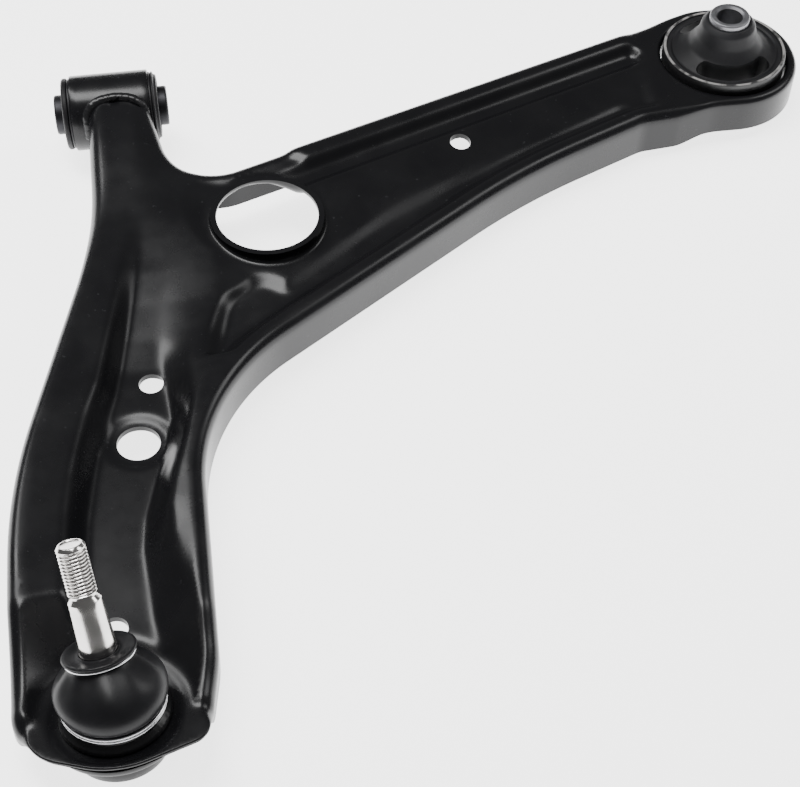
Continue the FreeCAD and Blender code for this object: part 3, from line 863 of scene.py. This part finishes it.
def boot_rings():
    """Rows of (share of the turn from housing to stud, distance from the ball, radius)."""
    foot = [(0, 8.3, 18.4), (0, 8.3, 19.9), (0, 8.7, 20.45), (0, 9.2, 20.5), (0, 11.5, 20.5),
            (0, 12.0, 20.8)]
    bulge = [(0.02, 12.7, 21.5), (0.07, 13.6, 22.3), (0.14, 14.7, 22.85), (0.22, 15.8, 23.1),
             (0.31, 17.1, 23.05), (0.4, 18.4, 22.5), (0.49, 19.7, 21.6), (0.58, 21.0, 20.4),
             (0.66, 22.2, 19.1), (0.74, 23.4, 17.7), (0.81, 24.5, 16.4), (0.87, 25.5, 15.2),
             (0.93, 26.5, 14.2), (0.97, 27.2, 13.75), (1, 27.8, 13.6)]
    lip = [(1, 29.1, 13.6), (1, 29.35, 14.0), (1, 29.4, 15.0), (1, 29.7, 15.45), (1, 30.3, 15.5),
           (1, 30.8, 15.25), (1, 30.95, 14.6), (1, 30.75, 13.2), (1, 30.35, 11.2), (1, 30.2, 9.6),
           (1, 30.5, 8.6), (1, 30.6, 8.1), (1, 30.2, 7.96), (1, 26.3, 7.96)]
    inside = [(0.98, 26.0, 9.0), (0.95, 25.6, 11.6), (0.88, 24.4, 13.3), (0.76, 22.5, 15.6),
              (0.6, 20.1, 18.4), (0.45, 17.8, 20.0), (0.3, 15.6, 20.8), (0.15, 13.6, 20.6),
              (0.04, 12.0, 19.3), (0, 11.4, 18.4)]
    across = unit(np.cross(HOUSING_AXIS, STUD_AXIS))
    turns = np.arange(128) * 2 * pi / 128
    rings = []
    for share, s, r in [*foot, *bulge, *lip, *inside]:
        w = unit(HOUSING_AXIS * (1 - share) + STUD_AXIS * share)
        v = np.cross(w, across)
        outside = r > 13.7 and s < 29.2
        fold = 0.22 * smooth((share - 0.35) / 0.35) * smooth((1 - share) / 0.12) * outside
        radii = r + fold * (np.cos(9 * turns + 0.6) + 0.5 * np.cos(5 * turns))
        spokes = np.cos(turns)[:, None] * across + np.sin(turns)[:, None] * v
        rings.append(list(BALL + w * s + spokes * radii[:, None]))
    return rings


boot = rings_mesh("dust_boot_piece", boot_rings(), None, BOOT, ["dust_boot"], sharp=70)
smoothing = boot.modifiers.new("smooth", "SUBSURF")
smoothing.levels = smoothing.render_levels = 1
baked(boot)
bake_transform(boot)


def coil(axis, radius, low, turns_of_wire, step, start):
    """Turns of wire that lie flat and step over to the next turn in a short stretch."""
    u, v, w = axes_for(axis)
    angles = np.linspace(0, 2 * pi * turns_of_wire, int(110 * turns_of_wire))
    rise = low + step * smooth((angles / (2 * pi) - 0.86) / 0.24)
    return [BALL + w * h + radius * (cos(t + start) * u + sin(t + start) * v)
            for t, h in zip(angles, rise)]


bead("lower_wire", coil(HOUSING_AXIS, 21.15, 9.5, 1.97, 1.5, 1.4), 0.6, "lean", WIRE,
     ["boot_lower_ring"])
bead("upper_wire", coil(STUD_AXIS, 14.25, 28.45, 0.985, 0.0, 2.4), 0.62, "boot_neck", WIRE,
     ["boot_upper_ring"])


# ---- stage ---------------------------------------------------------------------------------
FLOOR_Z, FLOOR_HALF, FLOOR_GLOW = CAD_BOX[0].z - 0.0005, 6.0, 3.0     # in metres
WORLD_GLOW = 0.13

mesh = bpy.data.meshes.new("floor")
mesh.from_pydata([(x * FLOOR_HALF, y * FLOOR_HALF, FLOOR_Z)
                  for x, y in ((-1, -1), (1, -1), (1, 1), (-1, 1))], [], [(0, 1, 2, 3)])
floor = bpy.data.objects.new("floor", mesh)
bpy.context.scene.collection.objects.link(floor)
pale, shader = material("pale floor", (0.86, 0.86, 0.86), 0.75)
shader.inputs["Emission Color"].default_value = (1, 1, 1, 1)
shader.inputs["Emission Strength"].default_value = FLOOR_GLOW
floor.data.materials.append(pale)


def area_light(name, at, target, width, length, power):
    """A soft light at a point, in metres, aimed at a target, with its power in watts."""
    light = bpy.data.lights.new(name, "AREA")
    light.shape, light.size, light.size_y, light.energy = "RECTANGLE", width, length, power
    obj = bpy.data.objects.new(name, light)
    obj.location = at
    obj.rotation_mode = "QUATERNION"
    obj.rotation_quaternion = (Vector(target) - Vector(at)).to_track_quat("-Z", "Y")
    bpy.context.scene.collection.objects.link(obj)


CENTRE = (0.15, -0.2, 0)
area_light("overhead", (-0.15, 0.03, 1.3), (-0.1, 0, 0), 0.5, 0.85, 19)
area_light("key", (-0.75, 0.6, 1.2), CENTRE, 0.3, 0.8, 9)
area_light("fill", (1.4, 0.2, 1.2), CENTRE, 0.5, 0.9, 8)
world = bpy.data.worlds.new("studio")
world.use_nodes = True
world.node_tree.nodes["Background"].inputs["Color"].default_value = (1, 1, 1, 1)
world.node_tree.nodes["Background"].inputs["Strength"].default_value = WORLD_GLOW
bpy.context.scene.world = world
